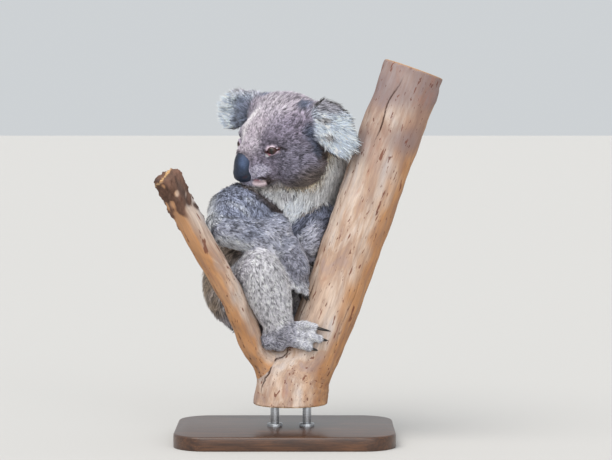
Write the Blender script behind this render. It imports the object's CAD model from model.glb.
# A life-size koala sitting in the fork of a gum tree: skin, coat, face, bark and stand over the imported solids.
# Metres, +Z up. The koala's right side faces -Y and the trunk leans towards +X.
from math import cos, pi, radians, sin

import bmesh
import bpy
import numpy as np
from mathutils import Matrix, Vector
from mathutils.bvhtree import BVHTree
from mathutils.kdtree import KDTree


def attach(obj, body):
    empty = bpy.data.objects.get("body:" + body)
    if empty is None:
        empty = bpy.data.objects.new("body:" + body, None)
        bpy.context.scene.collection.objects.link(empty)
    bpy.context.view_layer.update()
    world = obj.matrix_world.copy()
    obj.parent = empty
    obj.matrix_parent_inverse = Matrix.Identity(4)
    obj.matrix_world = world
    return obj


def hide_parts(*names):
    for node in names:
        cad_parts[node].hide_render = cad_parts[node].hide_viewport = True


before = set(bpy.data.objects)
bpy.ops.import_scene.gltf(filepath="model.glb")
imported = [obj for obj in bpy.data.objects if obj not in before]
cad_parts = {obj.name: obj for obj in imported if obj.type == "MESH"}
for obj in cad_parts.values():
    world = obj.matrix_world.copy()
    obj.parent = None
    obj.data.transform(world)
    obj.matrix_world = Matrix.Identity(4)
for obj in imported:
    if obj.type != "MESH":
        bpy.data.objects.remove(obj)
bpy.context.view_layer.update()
mm = 0.001
print("koala: frame loaded,", len(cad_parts), "nodes")


# Numbers: fields, blends and the properties of meshes as arrays.
def unit(vectors):
    return vectors / np.maximum(np.linalg.norm(vectors, axis=-1, keepdims=True), 1e-12)


# Rises smoothly from 0 at `start` to 1 at `end`.
def step(values, start, end):
    t = np.clip((values - start) / (end - start), 0, 1)
    return t * t * (3 - 2 * t)


# Falls smoothly from 1 at `inner` to 0 at `outer`.
def within(distance, inner, outer):
    return 1 - step(distance, inner, outer)


def hump(distance, width):
    return np.exp(-(distance / width) ** 2)


# A smooth random field about `size` across, from -1 to 1.
def waves(points, size, seed, count=9):
    draw = np.random.default_rng(seed)
    total = np.zeros(len(points))
    for _ in range(count):
        heading = draw.normal(size=3)
        heading *= draw.uniform(0.7, 1.4) / (np.linalg.norm(heading) * size)
        total += np.sin(2 * pi * (points @ heading) + draw.uniform(0, 2 * pi))
    return total / (0.55 * count ** 0.5 * 1.6)


def valuesOf(items, name, width, kind=np.float32):
    values = np.empty(len(items) * width, kind)
    items.foreach_get(name, values)
    return values.reshape(-1, width)


def pointsOf(mesh):
    return valuesOf(mesh.vertices, "co", 3).astype(float)


def normalsOf(mesh):
    return valuesOf(mesh.vertices, "normal", 3).astype(float)


def edgesOf(mesh):
    return valuesOf(mesh.edges, "vertices", 2, np.int32)


def setPoints(mesh, points):
    mesh.vertices.foreach_set("co", points.astype(np.float32).ravel())
    mesh.update()


# The mean of each vertex's neighbours, for places or any other values.
def neighbourMean(values, edges):
    total = np.zeros_like(values)
    count = np.zeros(len(values))
    for a, b in ((edges[:, 0], edges[:, 1]), (edges[:, 1], edges[:, 0])):
        count += np.bincount(a, minlength=len(values))
        for k in range(values.shape[1]):
            total[:, k] += np.bincount(a, weights=values[b, k], minlength=len(values))
    return total / np.maximum(count, 1)[:, None]


def soften(values, edges, rounds, share=0.5):
    for _ in range(rounds):
        values = values + share * (neighbourMean(values, edges) - values)
    return values


# Screen colours (0 to 255) as the linear colours that shaders take.
def linear(colour):
    c = np.asarray(colour, float) / 255
    return np.where(c <= 0.04045, c / 12.92, ((c + 0.055) / 1.055) ** 2.4)


def storeColour(mesh, name, colours):
    layer = mesh.attributes.get(name) or mesh.attributes.new(name, "FLOAT_COLOR", "POINT")
    rgba = np.ones((len(colours), 4), np.float32)
    rgba[:, :3] = colours
    layer.data.foreach_set("color", rgba.ravel())


# Up to three values for each vertex, kept in the channels of a colour.
def storeValues(mesh, name, *values):
    colours = np.zeros((len(mesh.vertices), 3))
    for k, value in enumerate(values):
        colours[:, k] = value
    storeColour(mesh, name, colours)


# Objects: adding, selecting, editing and handing them over.
def selectOnly(*objects):
    bpy.ops.object.select_all(action="DESELECT")
    for one in objects:
        one.hide_set(False)
        one.select_set(True)
    bpy.context.view_layer.objects.active = objects[0]


def addPrimitive(shape, **settings):
    bpy.ops.object.select_all(action="DESELECT")
    getattr(bpy.ops.mesh, f"primitive_{shape}_add")(**settings)
    return bpy.context.object


def applyModifier(obj, kind, **settings):
    selectOnly(obj)
    modifier = obj.modifiers.new(kind.lower(), kind)
    for key, value in settings.items():
        setattr(modifier, key, value)
    bpy.ops.object.modifier_apply(modifier=modifier.name)


# Runs one edit-mode operator on all of an object.
def editAll(obj, operator, **settings):
    selectOnly(obj)
    bpy.ops.object.mode_set(mode="EDIT")
    bpy.ops.mesh.select_all(action="SELECT")
    operator(**settings)
    bpy.ops.object.mode_set(mode="OBJECT")


# Puts an object's place, turn and scale into its mesh.
def settleObject(obj, name):
    selectOnly(obj)
    bpy.ops.object.transform_apply(location=True, rotation=True, scale=True)
    obj.name = name
    obj.data.name = name


# Bevels the edges that `choose` picks, given their two ends.
def bevelEdges(obj, choose, width, segments):
    selectOnly(obj)
    bpy.ops.object.mode_set(mode="EDIT")
    bpy.ops.mesh.select_all(action="DESELECT")
    bpy.ops.mesh.select_mode(type="EDGE")
    bpy.ops.object.mode_set(mode="OBJECT")
    for edge in obj.data.edges:
        a, b = (obj.data.vertices[v].co for v in edge.vertices)
        edge.select = choose(a, b)
    bpy.ops.object.mode_set(mode="EDIT")
    bpy.ops.mesh.bevel(offset=width, segments=segments, profile=0.5, affect="EDGES")
    bpy.ops.object.mode_set(mode="OBJECT")


# One object from copies of several CAD nodes, with the loose triangles merged.
def copyNodes(name, nodes):
    copies = []
    for node in nodes:
        copy = bpy.data.objects.new(node + "_copy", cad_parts[node].data.copy())
        bpy.context.collection.objects.link(copy)
        copies.append(copy)
    selectOnly(*copies)
    if len(copies) > 1:
        bpy.ops.object.join()
    joined = bpy.context.object
    joined.name = name
    joined.data.name = name
    joined.data.materials.clear()
    editAll(joined, bpy.ops.mesh.remove_doubles, threshold=1e-5)
    return joined


# One even, closed skin over all the shells of a mesh. Only the largest is kept.
def wrap(obj, voxel):
    name = obj.name
    applyModifier(obj, "REMESH", mode="VOXEL", voxel_size=voxel, use_smooth_shade=True)
    editAll(obj, bpy.ops.mesh.separate, type="LOOSE")
    shells = sorted(bpy.context.selected_objects, key=lambda one: -len(one.data.vertices))
    for extra in shells[1:]:
        bpy.data.objects.remove(extra)
    shells[0].name = name
    return shells[0]


# A search tree over several meshes, and for each of its faces the index of the mesh that it is from.
def treeOf(meshes):
    corners, faces, owners = [], [], []
    for index, mesh in enumerate(meshes):
        start = len(corners)
        corners.extend(v.co[:] for v in mesh.vertices)
        faces.extend([start + v for v in face.vertices] for face in mesh.polygons)
        owners.extend([index] * len(mesh.polygons))
    return BVHTree.FromPolygons(corners, faces), owners


def finishPiece(obj, material, replaced=()):
    obj.data.materials.clear()
    obj.data.materials.append(material)
    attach(obj, "root")
    if replaced:
        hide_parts(*replaced)


# Materials: an underscore in an input's name stands for a space, and a socket is linked where a value is set.
def setInputs(tree, node, **inputs):
    for name, value in inputs.items():
        socket = node.inputs[name.replace("_", " ")]
        if isinstance(value, bpy.types.NodeSocket):
            tree.links.new(value, socket)
        else:
            socket.default_value = value
    return node


def addNode(tree, kind, **inputs):
    return setInputs(tree, tree.nodes.new("ShaderNode" + kind), **inputs)


def newMaterial(name, **inputs):
    material = bpy.data.materials.new(name)
    material.use_nodes = True
    tree = material.node_tree
    return material, tree, setInputs(tree, tree.nodes["Principled BSDF"], **inputs)


def noise(tree, place, scale, detail=4, roughness=0.55, distortion=0.0):
    inputs = {"Scale": scale, "Detail": detail, "Roughness": roughness, "Distortion": distortion}
    return addNode(tree, "TexNoise", Vector=place, **inputs).outputs["Fac"]


# A socket as it is, a screen colour (0 to 255) as a linear one, or a grey (0 to 1).
def shaderColour(value):
    if isinstance(value, bpy.types.NodeSocket):
        return value
    return (*linear(value), 1) if isinstance(value, tuple) else (value, value, value, 1)


def ramp(tree, factor, *stops):
    node = addNode(tree, "ValToRGB", Fac=factor)
    while len(node.color_ramp.elements) < len(stops):
        node.color_ramp.elements.new(0.5)
    for element, (position, colour) in zip(node.color_ramp.elements, stops):
        element.position = position
        element.color = shaderColour(colour)
    return node.outputs["Color"]


def mix(tree, factor, a, b):
    node = tree.nodes.new("ShaderNodeMix")
    node.data_type = "RGBA"
    return setInputs(tree, node, Factor=factor, A=shaderColour(a), B=shaderColour(b)).outputs["Result"]


# Lays a colour over a tone where a pattern's ramp is high.
def stain(tree, tone, colour, pattern, *stops):
    return mix(tree, ramp(tree, pattern, *stops), tone, colour)


def bump(tree, shader, height, strength, distance):
    node = addNode(tree, "Bump", Strength=strength, Distance=distance, Height=height)
    if shader.inputs["Normal"].is_linked:
        setInputs(tree, node, Normal=shader.inputs["Normal"].links[0].from_socket)
    setInputs(tree, shader, Normal=node.outputs["Normal"])


def objectPlace(tree):
    return tree.nodes.new("ShaderNodeTexCoord").outputs["Object"]


def attribute(tree, name, output="Color"):
    node = tree.nodes.new("ShaderNodeAttribute")
    node.attribute_name = name
    return node.outputs[output]


def channels(tree, name):
    node = addNode(tree, "SeparateColor", Color=attribute(tree, name))
    return [node.outputs[channel] for channel in ("Red", "Green", "Blue")]


def stretched(tree, place, scale):
    return addNode(tree, "Mapping", Vector=place, Scale=scale).outputs["Vector"]


def lengthOf(tree, vector):
    node = tree.nodes.new("ShaderNodeVectorMath")
    node.operation = "LENGTH"
    tree.links.new(vector, node.inputs[0])
    return node.outputs["Value"]


# Camera, floor and light.
camera = {"target": (0.0288, 0, 0.289), "distance": 3.0, "elevation": 3, "lens": 128.8, "sensor": 36}


def placeCamera():
    tilt = radians(camera["elevation"])
    back = Vector((0, -cos(tilt), sin(tilt)))
    data = bpy.data.cameras.new("camera")
    data.lens = camera["lens"]
    data.sensor_width = camera["sensor"]
    eye = bpy.data.objects.new("camera", data)
    bpy.context.collection.objects.link(eye)
    eye.location = Vector(camera["target"]) + back * camera["distance"]
    eye.rotation_euler = (-back).to_track_quat("-Z", "Y").to_euler()
    bpy.context.scene.camera = eye


placeCamera()

studio = {
    "floorSize": 90, "floorColour": (0.56, 0.55, 0.535), "skyColour": (0.93, 0.97, 1.0), "skyStrength": 0.66,
    "lamps": {
        "sun": {"from": (-0.55, -0.75, 1.5), "strength": 2.2, "angle": 50, "colour": (1.0, 0.97, 0.93)},
        "fill": {"from": (0.15, -1.0, 0.32), "strength": 1.65, "angle": 70, "colour": (0.96, 0.98, 1.0)},
    },
}


def placeStudio():
    floor = addPrimitive("plane", size=studio["floorSize"])
    floor.name = "floor"
    colour = (*studio["floorColour"], 1)
    material, _, _ = newMaterial("paleFloor", Base_Color=colour, Roughness=0.9, Specular_IOR_Level=0.1)
    floor.data.materials.append(material)
    world = bpy.data.worlds.new("studio")
    bpy.context.scene.world = world
    world.use_nodes = True
    sky = world.node_tree.nodes["Background"]
    setInputs(world.node_tree, sky, Color=(*studio["skyColour"], 1), Strength=studio["skyStrength"])
    for name, lamp in studio["lamps"].items():
        data = bpy.data.lights.new(name, "SUN")
        data.energy = lamp["strength"]
        data.color = lamp["colour"]
        data.angle = radians(lamp["angle"])
        sun = bpy.data.objects.new(name, data)
        sun.location = lamp["from"]
        sun.rotation_euler = (-Vector(lamp["from"])).to_track_quat("-Z", "Y").to_euler()
        bpy.context.collection.objects.link(sun)
    bpy.context.scene.view_settings.view_transform = "Standard"


placeStudio()


# The head's own frame: +X to the nose, +Y to the left ear, +Z to the crown, in millimetres.
head = {"centre": (-0.001, 0.018, 0.411), "yaw": -136, "pitch": 5, "roll": -7.8}
headFrame = (
    Matrix.Translation(head["centre"])
    @ Matrix.Rotation(radians(head["yaw"]), 4, "Z")
    @ Matrix.Rotation(radians(head["pitch"]), 4, "Y")
    @ Matrix.Rotation(radians(head["roll"]), 4, "X")
)
headTurn = np.array(headFrame.to_3x3())
headCentre = np.array(head["centre"])


def toHead(points):
    return (points - headCentre) @ headTurn / mm


def fromHead(points):
    return np.asarray(points, float) * mm @ headTurn.T + headCentre


# Forms as distances from their surface, negative inside.
def roundCone(p, a, b, radiusA, radiusB):
    a, b = np.array(a, float), np.array(b, float)
    t = np.clip((p - a) @ (b - a) / ((b - a) @ (b - a)), 0, 1)
    return np.linalg.norm(p - a - t[:, None] * (b - a), axis=1) - (radiusA + (radiusB - radiusA) * t)


def ball(p, centre, radius):
    return np.linalg.norm(p - np.array(centre, float), axis=1) - radius


def ellipsoid(p, centre, radii):
    q = p - np.array(centre, float)
    near = np.linalg.norm(q / np.array(radii, float), axis=1)
    far = np.linalg.norm(q / np.array(radii, float) ** 2, axis=1)
    return near * (near - 1) / np.maximum(far, 1e-9)


# The square of the distance from a centre, counted in radii: 1 on the ellipsoid.
def radiiAway(q, centre, radii):
    return (((q - centre) / radii) ** 2).sum(1)


def lineDistance(q, line):
    return np.min([roundCone(q, a, b, 0, 0) for a, b in zip(line[:-1], line[1:])], axis=0)


def blend(fillet, *forms):
    nearest = forms[0]
    for other in forms[1:]:
        h = np.maximum(fillet - np.abs(nearest - other), 0) / fillet
        nearest = np.minimum(nearest, other) - h * h * fillet / 4
    return nearest


def dent(form, tool, fillet):
    return -blend(fillet, -form, tool)


# Folds the head's right half onto its left.
def mirrored(q):
    return np.stack([q[:, 0], np.abs(q[:, 1]), q[:, 2]], axis=1)


def headShape(p):
    q = mirrored(p)
    form = blend(
        15,
        ellipsoid(q, (-4, 0, 10), (60, 58, 54)),
        roundCone(q, (-4, -44, 33), (-4, 44, 33), 25, 25),
        ellipsoid(q, (4, 27, -20), (45, 37, 38)),
        ball(q, (42, 25, 8), 15),
        roundCone(q, (26, 0, 14), (69, 0, -10), 27, 15),
        ellipsoid(q, (52, 0, -30), (32, 23, 25)),
        ellipsoid(q, (50, 15, -36), (22, 15, 16)),
        ellipsoid(q, (46, 0, -50), (24, 18, 12)),
    )
    form = dent(form, ball(q, (66, 41.4, -5), 13), 5)
    return dent(form, roundCone(q, (84, 3, -48), (54, 28, -46), 2.2, 1.6), 4)


def noseShape(p):
    return blend(8, ellipsoid(p, (76, 0, -26), (11, 14, 20)), ellipsoid(p, (75, 0, -40), (12, 15.5, 9)))


# Moves points along the form's own slope until the form reads `level` there.
def settle(points, form, level, rounds=5, share=0.9):
    nudge = 0.2
    for _ in range(rounds):
        value = form(points)
        slope = np.stack([form(points + nudge * axis) - value for axis in np.eye(3)], axis=1) / nudge
        length = np.maximum(np.linalg.norm(slope, axis=1), 0.3)
        points = points - (share * (value - level) / length ** 2)[:, None] * slope
    return points


# Stand.
stand = {
    "width": 0.300, "depth": 0.220, "height": 0.019, "corner": 0.046, "edge": 0.003, "footEdge": 0.0012,
    "rodRadius": 0.006, "rodPlaces": {"left": -0.014, "right": 0.030}, "rodFoot": 0.010, "rodTop": 0.058,
    "rodEdge": 0.0004, "collarRadius": 0.0105, "collarHeight": 0.0045, "collarSink": 0.0002, "collarEdge": 0.0012,
}


def makeBase():
    base = addPrimitive("cube", size=1, location=(0, 0, stand["height"] / 2))
    base.scale = (stand["width"], stand["depth"], stand["height"])
    settleObject(base, "standBase")
    bevelEdges(base, lambda a, b: abs(a.z - b.z) > 0.01, stand["corner"], 14)
    for height, width, segments in ((stand["height"], stand["edge"], 4), (0, stand["footEdge"], 2)):
        bevelEdges(base, lambda a, b: max(abs(a.z - height), abs(b.z - height)) < 1e-5, width, segments)
    bpy.ops.object.shade_smooth_by_angle(angle=radians(40))
    return base


def addCylinder(name, x, radius, bottom, height):
    obj = addPrimitive("cylinder", vertices=40, radius=radius, depth=height, location=(x, 0, bottom + height / 2))
    settleObject(obj, name)
    return obj


def makeRod(name, x):
    rod = addCylinder(name, x, stand["rodRadius"], stand["rodFoot"], stand["rodTop"] - stand["rodFoot"])
    bevelEdges(rod, lambda a, b: abs(a.z - b.z) < 1e-6, stand["rodEdge"], 2)
    bottom = stand["height"] - stand["collarSink"]
    collar = addCylinder(name + "Collar", x, stand["collarRadius"], bottom, stand["collarHeight"])
    middle = bottom + stand["collarHeight"] / 2
    bevelEdges(collar, lambda a, b: abs(a.z - b.z) < 1e-6 and a.z > middle, stand["collarEdge"], 3)
    selectOnly(rod, collar)
    bpy.ops.object.join()
    bpy.ops.object.shade_smooth_by_angle(angle=radians(40))
    return bpy.context.object


def stainedWood():
    material, tree, shader = newMaterial("stainedWood", Roughness=0.38, Coat_Weight=0.25, Coat_Roughness=0.18)
    place = objectPlace(tree)
    broad = noise(tree, stretched(tree, place, (0.8, 7, 7)), 9, 4, 0.6, 1.2)
    line = noise(tree, stretched(tree, place, (0.5, 12, 12)), 55, 4, 0.65, 0.3)
    pore = noise(tree, stretched(tree, place, (0.6, 14, 14)), 190, 2, 0.5)
    tone = ramp(tree, broad, (0.3, (58, 37, 26)), (0.5, (84, 54, 36)), (0.68, (104, 68, 44)))
    tone = stain(tree, tone, (40, 25, 18), line, (0.44, 0.55), (0.62, 0.0))
    tone = stain(tree, tone, (26, 16, 12), pore, (0.28, 0.7), (0.4, 0.0))
    setInputs(tree, shader, Base_Color=tone)
    bump(tree, shader, line, 0.12, 0.0004)
    bump(tree, shader, pore, 0.15, 0.0002)
    return material


def brushedSteel():
    material, tree, shader = newMaterial("brushedSteel", Metallic=1.0, Roughness=0.3)
    turned = noise(tree, stretched(tree, objectPlace(tree), (1, 1, 60)), 60, 3, 0.6)
    tone = ramp(tree, turned, (0.3, (150, 152, 155)), (0.7, (196, 198, 201)))
    setInputs(tree, shader, Base_Color=tone, Roughness=ramp(tree, turned, (0.3, 0.24), (0.7, 0.42)))
    bump(tree, shader, turned, 0.08, 0.0002)
    return material


finishPiece(makeBase(), stainedWood(), ("stand_base",))
steel = brushedSteel()
for side, x in stand["rodPlaces"].items():
    finishPiece(makeRod(f"standRod_{side}", x), steel, (f"stand_rod_{side}",))
print("koala: stand")


# Perch: trunk, limb and their bark, in mm.
perch = {
    "trunkLine": [(3, 0, 25), (16, 0, 84), (40, 0, 128), (89, 0, 262), (137, 0, 399), (176, 0, 509)],
    "limbLine": [(10, 2, 66), (-14, -4, 92), (-39, -22, 127), (-67, -51, 195), (-103, -79, 262), (-155, -120, 366)],
    "trunkRadius": {"foot": 51, "waist": 39.5, "top": 42}, "limbRadius": {"collar": 31, "limb": 16.8},
    "foot": 50, "fillet": 22, "voxel": 2.1,
    "cracks": [  # from, to, angle round the wood, depth
        (40, 310, -0.62, 1.7), (400, 525, -1.2, 1.8), (180, 330, -2.3, 0.9), (90, 330, 1.6, 1.8),
    ],
    "crackWidth": 1.3,
    "knots": [  # place, radius, height
        ((71, -44, 306), 6, 2.6), ((208, -14, 470), 10, 5.0), ((-50, -66, 189), 6, 3.4), ((28, -52, 92), 7, 2.4),
        ((-2, 36, 120), 8, 3.0), ((118, 44, 330), 9, 3.4),
    ],
    "flecks": [(150, 0.665, (112, 66, 50)), (330, 0.67, (104, 64, 52)), (80, 0.70, (112, 72, 58))],
}


# A centripetal curve through the given points, as `count` places along it.
def smoothLine(points, count):
    points = [np.array(p, float) for p in points]
    points = [2 * points[0] - points[1], *points, 2 * points[-1] - points[-2]]
    places = []
    for share in np.linspace(0, 1, count):
        where = share * (len(points) - 3)
        i = min(int(where), len(points) - 4)
        p0, p1, p2, p3 = points[i:i + 4]
        a, b, c = (np.linalg.norm(y - x) ** 0.5 for x, y in ((p0, p1), (p1, p2), (p2, p3)))
        m1 = ((p1 - p0) / a - (p2 - p0) / (a + b) + (p2 - p1) / b) * b
        m2 = ((p2 - p1) / b - (p3 - p1) / (b + c) + (p3 - p2) / c) * b
        t = where - i
        places.append(
            (2 * t ** 3 - 3 * t ** 2 + 1) * p1 + (t ** 3 - 2 * t ** 2 + t) * m1
            + (3 * t ** 2 - 2 * t ** 3) * p2 + (t ** 3 - t ** 2) * m2)
    return np.array(places)


# Each point's nearest place on a line: its share along, its offset from the line, and the line's heading there.
def alongLine(points, line):
    share, offset, heading = np.zeros(len(points)), np.zeros_like(points), np.zeros_like(points)
    best = np.full(len(points), 1e9)
    for i, (a, b) in enumerate(zip(line[:-1], line[1:])):
        t = np.clip((points - a) @ (b - a) / ((b - a) @ (b - a)), 0, 1)
        away = points - a - t[:, None] * (b - a)
        length = np.linalg.norm(away, axis=1)
        closer = length < best
        best[closer] = length[closer]
        share[closer] = (i + t[closer]) / (len(line) - 1)
        offset[closer] = away[closer]
        heading[closer] = unit(b - a)
    return share, offset, heading


trunkLine, limbLine = smoothLine(perch["trunkLine"], 25), smoothLine(perch["limbLine"], 21)


def trunkRadius(t):
    r = perch["trunkRadius"]
    return r["waist"] + (r["foot"] - r["waist"]) * within(t, 0.03, 0.42) + (r["top"] - r["waist"]) * step(t, 0.3, 1)


def limbRadius(t):
    r = perch["limbRadius"]
    return r["limb"] + (r["collar"] - r["limb"]) * within(t, 0, 0.24)


# A round length of wood along a line, sawn square at its end.
def woodForm(p, line, radius):
    share, offset, _ = alongLine(p, line)
    return np.maximum(np.linalg.norm(offset, axis=1) - radius(share), (p - line[-1]) @ unit(line[-1] - line[-2]))


def trunkForm(p):
    return np.maximum(woodForm(p, trunkLine, trunkRadius), perch["foot"] - p[:, 2])


def limbForm(p):
    return woodForm(p, limbLine, limbRadius)


def perchForm(p):
    return np.maximum(blend(perch["fillet"], trunkForm(p), limbForm(p)), perch["foot"] - p[:, 2])


# How far the bark stands out from the plain round wood, in mm, and how much of that is cracks and knots.
def barkRelief(p, along, around):
    swell = 0.8 * waves(p * (1, 1, 0.35), 34, 11) + 0.3 * waves(p * (1, 1, 0.3), 13, 12)
    wound = np.zeros(len(p))
    for place, radius, height in perch["knots"]:
        away = np.linalg.norm((p - place) * (1, 1, 0.8), axis=1)
        wound += height * (hump(away, radius) - 0.95 * hump(away, 0.45 * radius))
    wander = 0.10 * np.sin(along / 31) + 0.05 * np.sin(along / 9.0)
    for start, end, angle, depth in perch["cracks"]:
        gap = np.angle(np.exp(1j * (around - angle - wander))) * perch["trunkRadius"]["top"]
        parted = step(along, start, start + 40) * within(along, end - 60, end)
        wound -= depth * parted * hump(gap, perch["crackWidth"])
    return swell + wound, wound


def makePerch():
    obj = wrap(copyNodes("perchWood", ["perch_trunk", "perch_limb"]), perch["voxel"] * mm)
    points, edges = pointsOf(obj.data) / mm, edgesOf(obj.data)
    points = settle(points, perchForm, 0.0, 3)
    points = soften(points, edges, 1)
    points = settle(points, perchForm, 0.0, 2)
    onTrunk = trunkForm(points) < limbForm(points)
    grain = np.zeros((len(points), 3))  # round, out and along the wood
    sawn, relief, wound, rough = np.zeros((4, len(points)))
    for line, mine in ((trunkLine, onTrunk), (limbLine, ~onTrunk)):
        share, offset, heading = alongLine(points[mine], line)
        along = share * np.linalg.norm(np.diff(line, axis=0), axis=1).sum()
        aside = unit(np.array((0, 1.0, 0)) - heading * heading[:, 1:2])
        x, y = (offset * np.cross(heading, aside)).sum(1), (offset * aside).sum(1)
        grain[mine] = np.stack([x, y, along], axis=1)
        ends = np.minimum(np.abs((points[mine] - line[-1]) @ heading[-1]), 99)
        if line is trunkLine:
            ends = np.minimum(ends, np.abs(points[mine][:, 2] - perch["foot"]))
        else:
            rough[mine] = step(share + 0.03 * waves(points[mine], 16, 15), 0.90, 0.96)
        sawn[mine] = within(ends, 0.2, 1.4)
        relief[mine], wound[mine] = barkRelief(points[mine], along, np.arctan2(y, x)) * step(ends, 0, 6)
    relief += rough * (1.2 + 1.3 * waves(points * (1, 1, 0.3), 5.5, 16))
    setPoints(obj.data, points * mm)
    normals = normalsOf(obj.data)
    points += relief[:, None] * normals
    setPoints(obj.data, points * mm)
    low = np.where(onTrunk, normals @ (0.88, 0, -0.47) - 0.35, normals @ (-0.80, -0.2, -0.56))
    under = step(low + 0.15 * waves(points * (1, 1, 0.4), 24, 17), -0.3, 0.5)
    grey = onTrunk * step(points[:, 2] + 30 * waves(points, 60, 18), 340, 500)
    layer = obj.data.attributes.new("grain", "FLOAT_VECTOR", "POINT")
    layer.data.foreach_set("vector", (grain * mm).astype(np.float32).ravel())
    storeValues(obj.data, "barkState", sawn, np.clip(wound / 4 + 0.5, 0, 1), under)
    storeValues(obj.data, "barkPatches", rough, grey)
    selectOnly(obj)
    bpy.ops.object.shade_smooth_by_angle(angle=radians(50))
    return obj


def barkMaterial():
    material, tree, shader = newMaterial("gumBark", Roughness=0.78, Specular_IOR_Level=0.25)
    grain = attribute(tree, "grain", "Vector")
    sawn, wound, under = channels(tree, "barkState")
    rough, grey, _ = channels(tree, "barkPatches")
    long = stretched(tree, grain, (1, 1, 0.14))
    broad = noise(tree, stretched(tree, grain, (1, 1, 0.4)), 30, 4, 0.6, 0.8)
    streak = noise(tree, long, 130, 5, 0.6, 0.3)
    fine = noise(tree, long, 460, 3, 0.6)
    rosy = noise(tree, stretched(tree, grain, (1, 1, 0.45)), 42, 3, 0.6, 0.6)
    tone = ramp(tree, broad, (0.32, (200, 190, 186)), (0.46, (208, 188, 172)), (0.58, (184, 154, 132)),
                (0.72, (168, 148, 144)))
    orange = ramp(tree, broad, (0.3, (202, 156, 112)), (0.5, (190, 138, 92)), (0.7, (168, 120, 82)))
    tone = stain(tree, tone, orange, under, (0.05, 0.0), (0.85, 0.95))
    tone = stain(tree, tone, (134, 119, 121), grey, (0.0, 0.0), (1.0, 0.85))
    tone = stain(tree, tone, (140, 110, 96), streak, (0.44, 0.0), (0.68, 0.55))
    tone = stain(tree, tone, (132, 112, 104), fine, (0.36, 0.28), (0.56, 0.0))
    tone = stain(tree, tone, (158, 106, 84), rosy, (0.60, 0.0), (0.70, 0.35))
    for scale, start, colour in perch["flecks"]:
        fleck = noise(tree, stretched(tree, grain, (1, 1, 0.34)), scale, 2, 0.5, 0.3)
        tone = stain(tree, tone, colour, fleck, (start, 0.0), (start + 0.03, 0.85))
    dark = ramp(tree, broad, (0.35, (64, 46, 40)), (0.65, (120, 88, 74)))
    tone = stain(tree, tone, dark, rough, (0.1, 0.0), (0.7, 0.95))
    tone = stain(tree, tone, (66, 44, 36), wound, (0.16, 0.95), (0.40, 0.0))
    rings = addNode(tree, "TexWave", Vector=grain, Scale=95, Distortion=1.4, Detail=3, Detail_Scale=2.0)
    rings.wave_type = "RINGS"
    rings.rings_direction = "Z"
    cut = ramp(tree, rings.outputs["Fac"], (0.2, (206, 172, 128)), (0.8, (176, 134, 92)))
    setInputs(tree, shader, Base_Color=mix(tree, sawn, tone, cut))
    bump(tree, shader, streak, 0.5, 0.0014)
    bump(tree, shader, fine, 0.35, 0.0006)
    return material


perchWood = makePerch()
finishPiece(perchWood, barkMaterial(), ("perch_trunk", "perch_limb"))
print("koala: perch,", len(perchWood.data.polygons), "faces")


# Skin.
skinSize = {
    "voxel": 2.4, "relax": 30, "barkGap": 0.8, "armpit": 7,  # mm, and rounds
    "fills": [  # soft masses between the folded limbs: place and radius, in mm
        ((-46, -28, 306), 27), ((-14, -26, 291), 23), ((-36, -32, 213), 31), ((0, 96, 212), 28),  # belly and groin
        ((-21, -34, 141), 13), ((-8, -34, 138), 12),  # heel
        ((8, -36, 232), 8), ((11, -38, 220), 7), ((18, -35, 211), 6.2), ((17, -31, 222), 7), ((24, -27, 212), 6),
        ((26, -16, 226), 7), ((31, -12, 215), 6),  # hand
        ((18, 4, 286), 14), ((36, 9, 299), 14), ((54, 15, 312), 14),  # far arm
        ((28, -48, 163), 6.2), ((39, -46, 160), 5.8), ((36, -48, 147), 6.6), ((46, -46.5, 144), 6.2),
        ((24, -45, 136), 6.4), ((32, -46.5, 132.5), 6.0),  # toes
    ],
}
fleshNodes = sorted(
    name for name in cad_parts
    if not name.startswith(("claw_", "eye_", "perch_", "stand_")) and name != "nose"
)
# For each part: how deep the skin lies under the coat's tips (mm), and how much its facets are smoothed.
fleshParts = {
    "head": (4.6, 0.5), "neck": (6, 1), "torso": (5.5, 1), "ear": (2.0, 0.4), "upper_arm": (3.8, 1),
    "forearm": (3.4, 0.9),
    "hand": (0.9, 0.12), "thigh": (3.8, 1), "shank": (3.2, 0.9), "foot": (0.7, 0.08),
}
partNames = list(fleshParts)
barkTree, _ = treeOf([perchWood.data])


def partOf(node):
    return partNames.index(node.replace("_left", "").replace("_right", ""))


# Each part's share of every point, by the part's name.
def sharesOf(weights):
    return dict(zip(partNames, weights.T))


# The index in fleshNodes of the CAD node nearest to each point.
def nearestNodes(points):
    tree, owners = treeOf([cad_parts[node].data for node in fleshNodes])
    return np.array([owners[tree.find_nearest(Vector(p))[2]] for p in points])


# Pushes points out of the bark until they clear it by `gap`.
def clearOfBark(points, gap, reach=0.03):
    moved = points.copy()
    for i, p in enumerate(points):
        near, normal, _, distance = barkTree.find_nearest(Vector(p), reach)
        if near is None:
            continue
        height = (Vector(p) - near).dot(normal)
        if height < gap and (height < 0 or distance < gap):
            moved[i] = near + normal * gap
    return moved


def makeRawSkin():
    obj = copyNodes("skin", fleshNodes)
    fills = []
    for place, radius in skinSize["fills"]:
        fill = addPrimitive("ico_sphere", subdivisions=4, radius=radius * mm, location=np.array(place) * mm)
        settleObject(fill, "fill")
        fills.append(fill)
    selectOnly(obj, *fills)
    bpy.ops.object.join()
    return wrap(obj, skinSize["voxel"] * mm)


# Eyes: the eyeball's place in the head, and the lids' opening on it, in mm.
eye = {
    "place": (48.8, 28.7, -4.0), "radius": 8.9, "aim": (18.2, 12.7, -1.0), "halfWidth": 8.5, "upper": 5.7,
    "lower": 4.2, "tilt": 13, "lid": 0.9, "cornea": 0.07, "corneaAngle": 42,
}
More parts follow.
